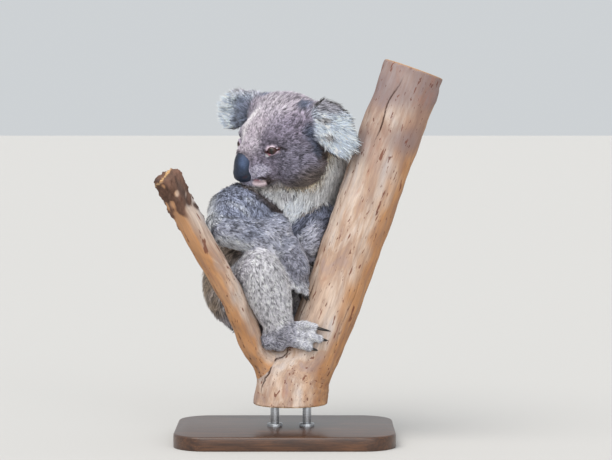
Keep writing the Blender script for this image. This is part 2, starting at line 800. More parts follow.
# The mouth runs from under the nose to its corner, on the head's left, and the lip swells below it.
mouthLine = [
    (82, 0, -50), (77, 10, -48.5), (70.5, 21, -42.8), (65.5, 26.8, -40.4), (58.8, 27.6, -44.2), (51.5, 26, -50.6),
]
lip = {"place": (62.2, 20.5, -49.2), "radii": (10, 11, 5.6), "swell": 2.0}


# Finer faces where the eyes, nose and mouth are.
def refineFace(obj):
    eyes = [Vector((eye["place"][0] + 5, side * (eye["place"][1] + 4), -4)) for side in (-1, 1)]
    inverse = headFrame.inverted()

    def onFace(q):
        return q.x > 34 and abs(q.y) < 46 and q.z < 14

    def onDetail(q):
        folded = Vector((q.x, abs(q.y), q.z))
        nearEye = min((q - place).length for place in eyes) < 15
        return nearEye or min((folded - Vector(place)).length for place in mouthLine) < 9

    for chosen in (onFace, onDetail):
        mesh = bmesh.new()
        mesh.from_mesh(obj.data)
        faces = [f for f in mesh.faces if chosen((inverse @ f.calc_center_median()) / mm)]
        edges = {e for f in faces for e in f.edges}
        bmesh.ops.subdivide_edges(mesh, edges=list(edges), cuts=1, use_grid_fill=True)
        mesh.to_mesh(obj.data)
        mesh.free()


# An eyeball's centre, and its axes: across the opening, up and along its line of sight.
def eyeAxes(side):
    ahead = unit(np.array(eye["aim"]) * (1, side, 1))
    up = unit(np.array((0, 0, 1.0)) - ahead[2] * ahead)
    back = np.cross(up, ahead) * side
    turn = radians(eye["tilt"])
    across, rise = cos(turn) * back + sin(turn) * up, cos(turn) * up - sin(turn) * back
    return np.array(eye["place"]) * (1, side, 1), np.stack([across, rise, ahead], axis=1)


def toEye(q, side):
    centre, axes = eyeAxes(side)
    return ((q - centre) @ axes).T


# Distance outside the lids' opening, negative within it.
def openingDistance(across, rise):
    share = across / eye["halfWidth"]
    height = np.where(rise > 0, eye["upper"], eye["lower"])
    edge = height * (1 - share ** 2)
    slope = 2 * height * share / eye["halfWidth"]
    lens = (np.abs(rise) - edge) / np.sqrt(1 + slope ** 2)
    beyond = np.hypot(np.maximum(np.abs(across) - eye["halfWidth"], 0), rise)
    return np.where(np.abs(share) > 1, beyond, lens)


def sculptLids(q):
    for side in (-1, 1):
        across, rise, height = toEye(q, side)
        gap = openingDistance(across, rise)
        near = (height > -6) & (gap < 13)
        ballTop = np.sqrt(np.maximum(eye["radius"] ** 2 - across ** 2 - rise ** 2, 1.0))
        under = ballTop - 1.8
        above = step(rise, -1, 2)
        rim = (0.35 + 0.6 * above) * hump(gap - 0.9, 0.7)
        fold = 0.9 * above * hump(gap - 3.0, 0.8) + 0.5 * hump(gap - 6.5, 1.1)
        lidTop = ballTop + eye["lid"] + rim - fold
        target = under + (lidTop - under) * step(gap, -0.35, 0.25)
        rise = (target - height) * within(gap, 1.6, 11.0)
        q[near] += (rise[:, None] * eyeAxes(side)[1][:, 2])[near]
    return q


# How far the face stands out from the plain head form, in mm.
def faceRelief(q):
    folded = mirrored(q)
    gap = lineDistance(folded, mouthLine)
    front = step(folded[:, 0], 38, 50)
    press = 3.0 * hump(gap, 1.25) * front
    upperLip = 0.9 * hump(gap - 3.4, 1.6) * front
    swell = lip["swell"] * np.exp(-radiiAway(folded, lip["place"], lip["radii"]))
    pad = 1.4 * np.exp(-radiiAway(folded, (66, 18, -32), (14, 10, 8)))
    cleft = 1.6 * hump(q[:, 1], 1.3) * step(q[:, 2], -56, -50) * within(q[:, 2], -48, -45) * step(q[:, 0], 62, 68)
    return upperLip + swell + pad - press - cleft


# How deep the skin lies under the coat's tips on the head, in mm: least on the face.
def headDepth(q):
    return fleshParts["head"][0] - 3.0 * step(q[:, 0], 26, 56)


# How far up and inwards a point lies from the near arm's edge beside the throat, in mm.
def innerArm(points):
    x, y, z = points.T / mm
    height = 0.614 * (x + 53) + 0.789 * (z - 348)
    return np.where((x < 14) & (x > -80) & (y < 30) & (z > 296), height, -50)


# How far below the far arm's upper edge a point on the chest lies, in mm.
def farArmEdge(points):
    x, y, z = points.T / mm
    below = 298 + 0.64 * (x - 7) - z
    return np.where((x > 5) & (x < 84) & (y < 26) & (z > 262), below, -50)


# Ears, in the head's frame: each leaves the skull at its root. `sweep` and `outward` head its hair, `dark` is how
# far the dark patch at the root reaches, and `spots` are out, up, stretch and size.
ears = {
    "left": {"root": (-15, 60, 29), "side": 1, "sweep": (-0.5, 0.48, -0.5), "outward": 0.6, "dark": 4,
             "spots": [(17, -9, 1.3, 3), (10, 12, 2.2, 1.5), (10, -22, 2, 1.5)]},
    "right": {"root": (4, -62, 32), "side": -1, "sweep": (0.0, -0.9, 0.15), "outward": 0.3, "dark": 18, "spots": []},
}


# For points in the head's frame: whether they are on the ear's side, and how far they lie from its root.
def fromEar(q, ear):
    return (q[:, 1] > 0) == (ear["side"] > 0), q - ear["root"]


# Draws each ear's rim in towards its root, leaving room for the fringe.
def shapeEars(points, share):
    q = toHead(points)
    for ear in ears.values():
        mine, away = fromEar(q, ear)
        pull = 0.20 * step(np.linalg.norm(away, axis=1), 18, 62) * share * mine
        q = q - pull[:, None] * away
    return fromHead(q)


def shapeSkin(obj):
    points, edges = pointsOf(obj.data), edgesOf(obj.data)
    owners = nearestNodes(points)
    parts = np.array([partOf(node) for node in fleshNodes])[owners]
    weights = soften(np.eye(len(partNames))[parts], edges, 8)
    part = sharesOf(weights)
    depth, relax = (weights @ np.array(list(fleshParts.values()))).T
    for _ in range(skinSize["relax"]):
        points = points + 0.5 * relax[:, None] * (neighbourMean(points, edges) - points)
    onHead = (step(part["head"], 0.35, 0.85) * (1 - part["ear"]))[:, None]
    for _ in range(5):
        setPoints(obj.data, points)
        points = points - 0.2 * mm * depth[:, None] * normalsOf(obj.data)
        points = soften(points, edges, 1, 0.12)
    points = shapeEars(points, part["ear"])
    for _ in range(4):
        q = toHead(points)
        points += onHead * (fromHead(settle(q, headShape, -headDepth(q), 3)) - points)
        points += 0.5 * onHead * (neighbourMean(points, edges) - points)
    q = settle(toHead(points), headShape, -headDepth(toHead(points)), 3)
    q = settle(q, headShape, faceRelief(q) - headDepth(q), 2)
    points += onHead * (fromHead(q) - points)
    points = fromHead(sculptLids(toHead(points)))
    setPoints(obj.data, points)
    hollow = part["upper_arm"] * step(innerArm(points), -3, 8)
    points = points - skinSize["armpit"] * mm * soften(hollow[:, None], edges, 4) * normalsOf(obj.data)
    setPoints(obj.data, clearOfBark(points, skinSize["barkGap"] * mm))
    return weights, owners


skin = makeRawSkin()
refineFace(skin)
print("koala: raw skin,", len(skin.data.vertices), "points")
skinWeights, skinOwners = shapeSkin(skin)
print("koala: skin shaped,", len(skin.data.polygons), "faces")


def makeEye(side, sign):
    obj = addPrimitive("uv_sphere", segments=48, ring_count=36, radius=eye["radius"])
    local = pointsOf(obj.data)
    polar = np.arccos(np.clip(local[:, 2] / eye["radius"], -1, 1))
    local *= (1 + eye["cornea"] * np.clip(1 - (polar / radians(eye["corneaAngle"])) ** 2, 0, 1))[:, None]
    spread = local[:, :2] / (2 * eye["radius"]) + 0.5
    spread[local[:, 2] < 0] = 0.02
    corners = valuesOf(obj.data.loops, "vertex_index", 1, np.int32).ravel()
    layer = obj.data.uv_layers.active
    layer.name = "irisPlace"
    layer.data.foreach_set("uv", spread[corners].astype(np.float32).ravel())
    centre, axes = eyeAxes(sign)
    axes[:, 0] *= sign
    if np.linalg.det(axes) < 0:
        axes[:, 0] *= -1
    setPoints(obj.data, fromHead(local @ axes.T + centre))
    obj.name = f"eyeball_{side}"
    bpy.ops.object.shade_smooth()
    return obj


def eyeMaterial():
    material, tree, shader = newMaterial(
        "wetEye", Roughness=0.2, Coat_Weight=0.5, Coat_Roughness=0.02, Specular_IOR_Level=0.25)
    place = tree.nodes.new("ShaderNodeUVMap")
    place.uv_map = "irisPlace"
    centred = addNode(tree, "Mapping", Vector=place.outputs["UV"], Location=(-0.5, -0.5, 0)).outputs["Vector"]
    tone = ramp(tree, lengthOf(tree, centred), (0.0, (26, 11, 10)), (0.2, (46, 19, 15)), (0.32, (62, 27, 21)),
                (0.40, (34, 16, 15)), (0.46, (64, 24, 26)))
    tone = stain(tree, tone, (40, 16, 12), noise(tree, centred, 38, 4, 0.7, 1.5), (0.35, 0.5), (0.65, 0.0))
    slit = lengthOf(tree, stretched(tree, centred, (2.6, 1, 1)))
    setInputs(tree, shader, Base_Color=stain(tree, tone, (13, 10, 10), slit, (0.22, 1.0), (0.27, 0.0)))
    return material


wetEye = eyeMaterial()
for side, sign in (("left", 1), ("right", -1)):
    finishPiece(makeEye(side, sign), wetEye, (f"eye_{side}",))

# Nose, in the head's frame: the nostrils run back from their first place, and the cleft lies below them.
nose = {
    "voxel": 0.9, "nostril": [(85.5, 7.5, -42), (82.6, 12.6, -40), (79.4, 15.4, -37)],
    "nostrilRadius": (1.2, 2.9, 1.1), "cleft": ((88, 0, -47), (76, 0, -54), 0.8, 1.0), "fillet": 1.6,
}


def noseForm(q):
    folded = mirrored(q)
    form = noseShape(q)
    places, radii = nose["nostril"], nose["nostrilRadius"]
    for i in range(2):
        form = dent(form, roundCone(folded, places[i], places[i + 1], radii[i], radii[i + 1]), nose["fillet"])
    return dent(form, roundCone(folded, *nose["cleft"]), nose["fillet"])


def makeNose():
    obj = wrap(copyNodes("nosePad", ["nose"]), nose["voxel"] * mm)
    q, edges = toHead(pointsOf(obj.data)), edgesOf(obj.data)
    q = settle(q, noseShape, 0.0, 5)
    q = soften(q, edges, 3)
    q = settle(q, noseForm, 0.0, 7, 0.7)
    q = soften(q, edges, 2, 0.4)
    setPoints(obj.data, fromHead(q))
    pitted = np.clip(-noseShape(q) / nose["fillet"], 0, 1)
    sheen = np.exp(-radiiAway(q, (83.5, 8, -20), (8, 7, 11)))
    rim = np.maximum(step(-q[:, 0], -73, -67), step(q[:, 2], -12, -7))
    storeValues(obj.data, "noseState", pitted, sheen, rim)
    return obj


def noseMaterial():
    material, tree, shader = newMaterial(
        "noseLeather", Specular_IOR_Level=0.25, Coat_Weight=0.05, Coat_Roughness=0.35)
    place = objectPlace(tree)
    cells = addNode(tree, "TexVoronoi", Vector=place, Scale=760)
    cells.feature = "DISTANCE_TO_EDGE"
    pebble = ramp(tree, cells.outputs["Distance"], (0.0, 0.0), (0.18, 1.0))
    pitted, sheen, rim = channels(tree, "noseState")
    broad = noise(tree, place, 110, 3)
    tone = ramp(tree, broad, (0.3, (24, 29, 40)), (0.7, (38, 47, 64)))
    tone = mix(tree, sheen, tone, ramp(tree, broad, (0.3, (62, 78, 108)), (0.7, (88, 106, 140))))
    tone = stain(tree, tone, (22, 25, 34), pebble, (0.0, 0.55), (1.0, 0.0))
    tone = mix(tree, rim, tone, (30, 32, 40))
    tone = stain(tree, tone, (62, 28, 26), pitted, (0.3, 0.0), (0.8, 1.0))
    setInputs(tree, shader, Base_Color=tone, Roughness=ramp(tree, broad, (0.3, 0.34), (0.7, 0.5)))
    bump(tree, shader, pebble, 0.4, 0.0003)
    bump(tree, shader, broad, 0.25, 0.0008)
    return material


finishPiece(makeNose(), noseMaterial(), ("nose",))

# Claws, in mm. `worn` is how much shorter the outer toes' claws are.
claw = {"around": 10, "along": 12, "radius": 2.9, "tip": 0.4, "flat": 0.8, "root": 2.5, "point": 1.5, "worn": 0.42}


# A CAD claw's base, middle and tip, from its own points: the base is the end nearer to its paw.
def clawLine(node):
    cad = np.unique(pointsOf(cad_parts[node].data).round(6), axis=0) / mm
    centre = cad.mean(0)
    along = (cad - centre) @ np.linalg.svd(cad - centre)[2][0]
    ends = [cad[along < np.quantile(along, 0.22)].mean(0), cad[along > np.quantile(along, 0.78)].mean(0)]
    paw = pointsOf(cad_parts[node[len("claw_"):-2]].data).mean(0) / mm
    base, tip = sorted(ends, key=lambda end: np.linalg.norm(end - paw))
    middle = cad[np.abs(along - np.median(along)) < 2.5].mean(0)
    tip = tip + claw["point"] * unit(tip - middle)
    if "foot" in node and not node.endswith("1"):
        tip = tip + claw["worn"] * (base - tip)
        middle = middle + claw["worn"] * (base - middle)
    return base - claw["root"] * unit(middle - base), middle, tip


# A hooked claw along the CAD claw.
def makeClaw(node):
    base, middle, tip = clawLine(node)
    bend = 2 * middle - (base + tip) / 2
    obj = addPrimitive("cylinder", vertices=claw["around"], radius=1, depth=1, end_fill_type="TRIFAN")
    mesh = bmesh.new()
    mesh.from_mesh(obj.data)
    upright = [e for e in mesh.edges if abs(e.verts[0].co.z - e.verts[1].co.z) > 0.5]
    bmesh.ops.subdivide_edges(mesh, edges=upright, cuts=claw["along"] - 1, use_grid_fill=True)
    mesh.to_mesh(obj.data)
    mesh.free()
    local = pointsOf(obj.data)
    t = np.clip(local[:, 2:] + 0.5, 0, 1)
    line = (1 - t) ** 2 * base + 2 * t * (1 - t) * bend + t ** 2 * tip
    way = unit(2 * (1 - t) * (bend - base) + 2 * t * (tip - bend))
    hook = unit(np.cross(bend - base, tip - base))
    out = unit(np.cross(way, hook))
    radius = claw["tip"] + (claw["radius"] - claw["tip"]) * (1 - t ** 2.2)
    setPoints(obj.data, (line + local[:, :1] * radius * claw["flat"] * hook + local[:, 1:2] * radius * out) * mm)
    editAll(obj, bpy.ops.mesh.normals_make_consistent, inside=False)
    bpy.ops.object.shade_smooth_by_angle(angle=radians(60))
    storeValues(obj.data, "clawAlong", t[:, 0])
    obj.name = node.replace("claw_", "horn_")
    return obj


def clawMaterial():
    material, tree, shader = newMaterial("clawHorn", Roughness=0.34, Specular_IOR_Level=0.55)
    streak = noise(tree, objectPlace(tree), 500, 3, 0.6, 0.5)
    along, _, _ = channels(tree, "clawAlong")
    tone = ramp(tree, along, (0.0, (74, 62, 56)), (0.35, (40, 34, 32)), (0.85, (26, 23, 23)), (1.0, (70, 62, 58)))
    tone = stain(tree, tone, (18, 16, 16), streak, (0.4, 0.4), (0.65, 0.0))
    setInputs(tree, shader, Base_Color=tone)
    bump(tree, shader, streak, 0.25, 0.0002)
    return material


clawHorn = clawMaterial()
for node in sorted(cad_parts):
    if node.startswith("claw_"):
        finishPiece(makeClaw(node), clawHorn, (node,))
print("koala: eyes, nose and claws")


# Markings, the same for skin and coat, in screen colours.
tones = {
    "head": (146, 137, 154), "forehead": (236, 228, 234), "crown": (198, 187, 196), "bridge": (196, 184, 196),
    "cheek": (134, 130, 146), "jaw": (120, 106, 96), "underEar": (92, 76, 66), "muzzle": (202, 196, 218),
    "chin": (232, 220, 210), "apricot": (226, 190, 140), "throat": (230, 230, 232), "chest": (232, 237, 246),
    "back": (168, 160, 164), "flank": (146, 126, 104), "arm": (138, 144, 165), "farArm": (107, 111, 129),
    "elbow": (218, 221, 228), "forearm": (181, 182, 197), "leg": (216, 213, 224), "shank": (222, 219, 226),
    "paw": (168, 168, 184), "toe": (232, 232, 243), "sole": (190, 188, 202), "shade": (74, 62, 62),
    "earFront": (93, 101, 121), "earSilver": (222, 234, 252), "earRim": (150, 143, 150), "earSpot": (122, 104, 88),
    "lid": (222, 202, 214), "lowerLid": (168, 146, 160), "white": (248, 244, 246), "canthus": (78, 42, 42),
    "lips": (238, 216, 220), "pink": (222, 146, 160), "mouthLine": (40, 30, 30), "cornerShade": (72, 56, 50),
}
belly = unit(np.array([0.80, -0.55, -0.25]))  # the way the chest faces
bodyLine = np.array([(-55, 36, 212), (-3, 44, 292), (24, 48, 334), (35, 44, 381)], float)


# A tone with others laid over it, each by its own share from 0 to 1.
def layered(base, *layers):
    colour = np.array(tones[base], float)
    for tone, share in layers:
        colour = colour + np.clip(share, 0, 1)[:, None] * (np.array(tones[tone], float) - colour)
    return colour


def markings(points, normals, weights):
    q = toHead(points)
    x, y, z = points.T / mm
    mottle = waves(points, 0.035, 21)
    _, aside, _ = alongLine(points / mm, bodyLine)
    facing = unit(aside) @ belly
    reaching = farArmEdge(points)
    stripe = step(reaching, -8, -5) * within(reaching, -2, 1) * step(x, 18, 26) * within(x, 44, 54)
    besideFarArm = [("underEar", 0.7 * stripe), ("farArm", step(reaching, -2, 2))]
    warm = step(-y, -24, -6) * step(z, 344, 362) * within(facing, 0.6, 1.0) * step(facing, -0.4, 0.2)
    ragged = z + 16 * mottle
    browned = step(ragged, 158, 206) * within(ragged, 236, 312) * within(facing, -0.2, 0.4)
    inner = innerArm(points) + 1.5 * mottle
    under = step(-normals[:, 2], 0.15, 0.7)
    far = step(x, 35, 55)  # the arm that reaches behind the trunk is darker
    coats = {
        "head": headTones(q, mottle),
        "neck": layered(
            "back", ("throat", step(facing + 0.10 * mottle, -0.45, 0.05)), ("apricot", 0.8 * warm), *besideFarArm),
        "torso": layered(
            "back", ("chest", step(facing + 0.12 * mottle, 0.0, 0.45) * step(z, 190, 250)),
            ("flank", 0.8 * browned), *besideFarArm),
        "ear": earTones(q, normals @ headTurn, mottle),
        "upper_arm": layered(
            "arm", ("elbow", 0.4 * step(mottle, 0.1, 0.9)), ("elbow", 0.95 * step(-x, 80, 101)),
            ("elbow", 0.6 * step(-normals[:, 2], -0.1, 0.5)), ("farArm", far),
            ("shade", 0.95 * step(inner, -5, -1) * within(inner, 5, 10)), ("throat", step(inner, 5, 10))),
        "forearm": layered(
            "forearm", ("elbow", 0.85 * under), ("arm", 0.5 * step(-mottle, 0.0, 0.8) * (1 - under)),
            ("arm", 0.8 * step(z, 282, 318)), ("farArm", far)),
        "hand": layered("paw", ("toe", 0.8 * step(-z, -230, -213))),
        "thigh": layered("leg", ("shank", 0.4 * step(mottle, 0.2, 0.8))),
        "shank": layered("shank", ("leg", 0.35 * step(-mottle, 0.1, 0.8))),
        "foot": layered("sole", ("toe", 0.9 * step(x + 14 * (y > 0), 4, 22))),
    }
    colour = np.zeros((len(points), 3))
    for name, share in sharesOf(weights).items():
        colour += share[:, None] * coats[name]
    return colour


def headTones(q, mottle):
    x, y, z = q.T
    off = np.abs(y)
    folded = mirrored(q)
    pale = step(z, 4, 30) * within(off + 0.35 * (60 - z), 22, 48) * step(x, 6, 22)
    brow = lineDistance(q, [(68, -2, 2), (60, -8, 18), (49, -16, 33)])
    band = lineDistance(folded, [(4.9, 38, 50), (9.7, 55.7, 19.7), (4, 60, -2)]) + 2.5 * mottle
    corner = lineDistance(folded, mouthLine[3:] + [(38, 30, -50)])
    beyond = step(58 + 0.4 * (z + 44) - x, -2, 3)
    opening = within(lineDistance(folded, mouthLine), 1.2, 2.4) * (0.35 + 0.65 * within(x, 66, 70))
    return layered(
        "head",
        ("crown", 0.6 * step(z, 30, 54)),
        ("forehead", 0.3 * pale),
        ("forehead", 0.95 * within(brow, 9, 24)),
        ("bridge", within(off, 8, 22) * step(x, 34, 54) * step(z, -26, -8)),
        ("cheek", 0.8 * within(np.hypot(x - 24, z + 26), 22, 44) * step(off, 26, 42)),
        ("jaw", 0.85 * within(np.hypot(x - 6, z + 46), 8, 32) * step(off, 14, 34)),
        ("underEar", 0.9 * within(np.hypot(x + 14, z + 10), 8, 24) * step(off, 40, 52)),
        ("earFront", 0.9 * within(band, 4, 12)),
        ("muzzle", 0.9 * within(radiiAway(folded, (66, 21, -31), (13, 13, 9)), 0.5, 1.6)),
        ("muzzle", 0.9 * step(x, 62, 70) * within(z, -34, -26)),
        ("chin", 0.95 * within(z, -57, -52) * step(x, 30, 42)),
        ("apricot", 0.8 * within(z, -57, -50) * within(x, 26, 44)),
        *eyeTones(q),
        ("lips", 0.95 * within(radiiAway(folded, lip["place"], (11, 12, 6.4)), 0.6, 1.3)),
        ("pink", 0.7 * within(radiiAway(folded, (69.7, 19.6, -46.3), (5, 7, 3.4)), 0.3, 1.4)),
        ("cornerShade", 0.75 * within(corner, 3, 9) * beyond * step(x, 20, 34)),
        ("mouthLine", opening * step(z, -56, -53)),
    )


# The lids and corners of both eyes. The right one is marked more faintly.
def eyeTones(q):
    layers = []
    for side, strength in ((-1, 0.35), (1, 1.0)):
        across, rise, height = toEye(q, side)
        gap = openingDistance(across, rise)
        corners = np.minimum(
            np.hypot((across - 9.3) / 1.5, rise - 0.2), np.hypot((across + 9.6) / 1.5, rise + 0.8))
        crease = np.abs(np.hypot(across - 5, rise + 9) - 13.4)
        marks = [
            ("cheek", 0.6 * within(gap, 5, 10) * step(-rise, 0, 4)),
            ("lid", within(gap, 1.2, 2.7) * step(rise, 0.5, 2.5)),
            ("lowerLid", 0.85 * within(gap, 1.0, 2.4) * within(rise, -1.5, 0.5)),
            ("lid", 0.8 * within(np.hypot(across - 8.0, rise + 3.6), 1.2, 3.2) * step(gap, 0.3, 0.8)),
            ("canthus", within(corners, 1.0, 2.0)),
            ("white", within(np.hypot((across + 8.0) / 1.4, rise + 5.2), 2.0, 3.4) * step(gap, 0.3, 0.9)),
            ("pink", within(np.hypot(across + 4.6, rise + 4.2), 1.2, 2.3)),
            ("mouthLine", 0.75 * within(crease, 0.5, 1.5) * step(across, 4, 7) * step(rise, -8, -3)),
        ]
        layers += [(tone, strength * (height > -3) * share) for tone, share in marks]
    return layers


def earTones(q, turned, mottle):
    layers = [("earSilver", step(turned[:, 0], -0.3, 0.15))]
    for ear in ears.values():
        mine, away = fromEar(q, ear)
        reach = np.linalg.norm(away, axis=1)
        out, up = away[:, 1] * ear["side"], away[:, 2]
        marks = [
            ("earSilver", step(reach, 38, 50)),
            ("earFront", 0.85 * within(reach + 3 * mottle + 0.25 * up, ear["dark"], ear["dark"] + 13)),
            ("earRim", 0.75 * step(up, 14, 26) * within(out, 20, 36)),
        ]
        for across, height, stretch, size in ear["spots"]:
            spot = within(np.hypot((out - across) / stretch, up - height), size, size + 4)
            marks.append(("earSpot", 0.5 * step(turned[:, 0], -0.2, 0.2) * spot))
        layers += [(tone, mine * share) for tone, share in marks]
    return layered("earRim", *layers)


# How the coat lies on each part: hair length (mm), width (mm), lift (degrees) and hairs per square centimetre.
lie = {
    "head": (9, 1.05, 26, 115), "neck": (16, 1.35, 28, 80), "torso": (14, 1.4, 26, 64), "ear": (13, 1.05, 26, 125),
    "upper_arm": (10, 1.2, 26, 88), "forearm": (8.5, 1.15, 26, 98), "hand": (4.6, 0.9, 24, 125),
    "thigh": (8.5, 1.2, 27, 86), "shank": (7.5, 1.15, 27, 96), "foot": (4.4, 0.9, 24, 125),
}
headings = {  # the way the hair points on each node, from one place to another (mm)
    "torso": ((24, 48, 334), (-55, 36, 180)), "neck": ((20, 30, 381), (10, 44, 300)),
    "upper_arm_right": ((-44, -6, 340), (-30, -52, 290)), "forearm_right": ((-80, -58, 297), (2, -24, 266)),
    "hand_right": ((2, -24, 266), (24, -24, 222)), "upper_arm_left": ((52, 72, 324), (27, 11, 271)),
    "forearm_left": ((27, 11, 271), (95, 74, 318)), "hand_left": ((95, 74, 318), (116, 60, 360)),
    "thigh_right": ((-62, 20, 196), (-33, -60, 239)), "shank_right": ((-33, -60, 239), (-9, -38, 164)),
    "foot_right": ((-9, -38, 155), (40, -46, 148)), "thigh_left": ((-38, 68, 186), (27, 104, 246)),
    "shank_left": ((27, 104, 246), (13, 67, 166)), "foot_left": ((13, 67, 158), (58, 52, 148)),
}


# Leaves only the part of each vector that lies along the surface.
def flattened(vectors, normals):
    return unit(vectors - (vectors * normals).sum(1)[:, None] * normals)


def hairFlow(points, normals, owners, edges):
    flow = np.zeros_like(points)
    q = toHead(points)
    for index, node in enumerate(fleshNodes):
        mine = owners == index
        if node in headings:
            start, end = headings[node]
            flow[mine] = unit(np.subtract(end, start))
        elif node == "head":
            away = q[mine] - (82, 0, -22)
            away[:, 2] -= 10 * step(-away[:, 2], 0, 30)
            flow[mine] = unit(away) @ headTurn.T
        else:
            ear = ears[node.replace("ear_", "")]
            out = unit(q[mine] - ear["root"])
            flow[mine] = (ear["outward"] * out + ear["sweep"]) @ headTurn.T
    flow = soften(flow, edges, 22)
    for share, size, seeds in ((0.18, 0.028, (31, 32, 33)), (0.10, 0.011, (34, 35, 36))):
        flow += share * np.stack([waves(points, size, seed) for seed in seeds], axis=1)
    return unit(soften(flattened(flow, normals), edges, 2))


def hairValues(points, weights):
    values = weights @ np.array([lie[name] for name in partNames], float)
    length, width, lift, density = values.T
    q = toHead(points)
    x, y, z = q.T
    part = sharesOf(weights)
    onHead = part["head"]
    face = step(x, 16, 50) * onHead
    length *= 1 - 0.55 * face
    width *= 1 - 0.28 * face
    lift -= 5 * face
    density *= 1 + 0.55 * face
    length += 4 * onHead * step(z, 30, 52) * within(x, 6, 34)  # crown
    length += 8 * onHead * within(z, -50, -14) * within(x, -4, 36)  # cheek ruff
    length += 5 * onHead * step(np.abs(y), 40, 54) * within(x, 4, 26)
    nearNose = noseShape(q)
    length *= 0.5 + 0.5 * step(nearNose, 2, 14)
    folded = mirrored(q)
    lips = lineDistance(folded, mouthLine)
    length *= 0.4 + 0.6 * step(lips, 3, 10)
    onLip = (radiiAway(folded, lip["place"], (12, 11, 5)) < 1.0) & (onHead > 0.5)
    bare = (nearNose < 1.2) | ((lips < 1.6) & (x > 48)) | onLip
    for side in (-1, 1):
        across, rise, height = toEye(q, side)
        gap = np.where(height > -4, openingDistance(across, rise), 99)
        length *= 0.28 + 0.72 * step(gap, 2, 13)
        bare |= gap < 2.3
    for name, ear in ears.items():
        mine, away = fromEar(q, ear)
        mine = mine * part["ear"]
        reach, up = np.linalg.norm(away, axis=1), away[:, 2]
        fringe = 1.0 if name == "left" else 0.1 + 0.5 * step(up, 8, 20)
        length += mine * 9 * step(reach, 26, 50) * fringe
        lift += mine * 8 * step(reach, 30, 46)
        if name == "right":  # the loose corner of the fringe
            corner = mine * step(up, -4, 5) * within(up, 12, 19) * step(-away[:, 1], 26, 36)
            length += 6 * corner
            lift += 30 * corner
    lift += 10 * within(length, 1.5, 4)
    density[bare] = 0
    return values


# Tufts. Each kind has its own seed, spread and outline; `levels` are how bright each corner is, as a constant and
# a share of the root's brightness, and `patch` is its shape on the unwrap.
coatRandom = np.random.default_rng(2024)
coat = {"lock": 4, "sizes": (0.7, 1.25), "barkReach": 0.022, "patchSize": 0.0015, "stubbleUnder": 4.6,
        "darkGrain": (38.7, 38.7, 40.8)}
tuftKinds = {
    "coat": {
        "seed": 131, "most": 33000, "leanSpread": 8, "turnSpread": 0.25, "thinnest": 0.7, "root": (0.42, 0.45),
        "faces": [(0, 1, 3), (0, 3, 2), (0, 2, 1), (4, 3, 1), (4, 2, 3), (4, 1, 2)],
        "levels": [(0, 1), (0.5, 0.5), (0.5, 0.5), (0.5, 0.5), (1.364, -0.2)],
        "sides": (0, -0.5, 0.5, 0, 0), "patch": [(0, -1), (-1, 0), (1, 0), (0, 0), (0, 1)],
    },
    "nap": {
        "seed": 17, "most": 49000, "leanSpread": 7, "turnSpread": 0.22, "thinnest": 0.75, "root": (0.55, 0.35),
        "faces": [(0, 2, 1), (0, 1, 3), (1, 2, 3), (2, 0, 3)],
        "levels": [(0, 1), (0, 1), (0, 1), (1.2, 0)],
        "sides": (-0.45, 0.45, 0, 0), "patch": [(-1, -1), (1, -1), (0, 0), (0, 1)],
    },
}


def unwrapSkin(obj):
    editAll(obj, bpy.ops.mesh.quads_convert_to_tris)
    editAll(obj, bpy.ops.uv.smart_project, angle_limit=radians(66), island_margin=0.003)
    obj.data.uv_layers.active.name = "OFBake"


# Roots spread over the faces by their area and the density at their corners.
def spreadRoots(points, corners, density):
    a, b, c = (points[corners[:, k]] for k in range(3))
    area = 0.5 * np.linalg.norm(np.cross(b - a, c - a), axis=1) * 1e4
    wanted = area * density[corners].mean(1)
    count = np.floor(wanted + coatRandom.random(len(wanted))).astype(int)
    faces = np.repeat(np.arange(len(corners)), count)
    u, v = np.sqrt(coatRandom.random(len(faces))), coatRandom.random(len(faces))
    return faces, np.stack([1 - u, u * (1 - v), u * v], axis=1)


def buildMesh(name, points, faces, shades, normals, uvs):
    mesh = bpy.data.meshes.new(name)
    mesh.vertices.add(len(points))
    mesh.vertices.foreach_set("co", points.astype(np.float32).ravel())
    mesh.loops.add(faces.size)
    mesh.loops.foreach_set("vertex_index", faces.astype(np.int32).ravel())
    mesh.polygons.add(len(faces))
    mesh.polygons.foreach_set("loop_start", np.arange(0, faces.size, 3, dtype=np.int32))
    mesh.polygons.foreach_set("use_smooth", np.ones(len(faces), bool))
    mesh.update(calc_edges=True)
    layer = mesh.uv_layers.new(name="OFBake")
    layer.data.foreach_set("uv", uvs[faces.ravel()].astype(np.float32).ravel())
    storeColour(mesh, "furColour", shades)
    mesh.normals_split_custom_set_from_vertices(normals.tolist())
    obj = bpy.data.objects.new(name, mesh)
    bpy.context.collection.objects.link(obj)
    return obj


# Groups neighbouring tufts into locks, and gives each tuft's leader.
def lockLeaders(root, draw):
    chosen = draw.choice(len(root), max(1, len(root) // coat["lock"]), replace=False)
    tree = KDTree(len(chosen))
    for place, index in enumerate(chosen):
        tree.insert(root[index], place)
    tree.balance()
    return chosen[np.array([tree.find(p)[1] for p in root])]


# How bright each tuft is: grizzled, with a share of white-tipped and of dark hairs, in patches a few mm across.
def grizzle(root, leader, light, draw):
    amount = 1.0 - 0.6 * step(light, 0.64, 0.9)
    fleck, lock = draw.random(len(root)), draw.random(len(root))[leader]
    bright = 1 + draw.normal(0, 0.14, len(root)) + 0.4 * (fleck > 0.86) - 0.3 * (fleck < 0.16)
    bright += 0.50 * (lock > 0.8) - 0.45 * (lock < 0.27) + 0.3 * (lock - 0.5)
    bright += 0.12 * waves(root, 0.011, 42)
    return np.clip(1 + amount * (bright - 1), 0.28, 2.2)


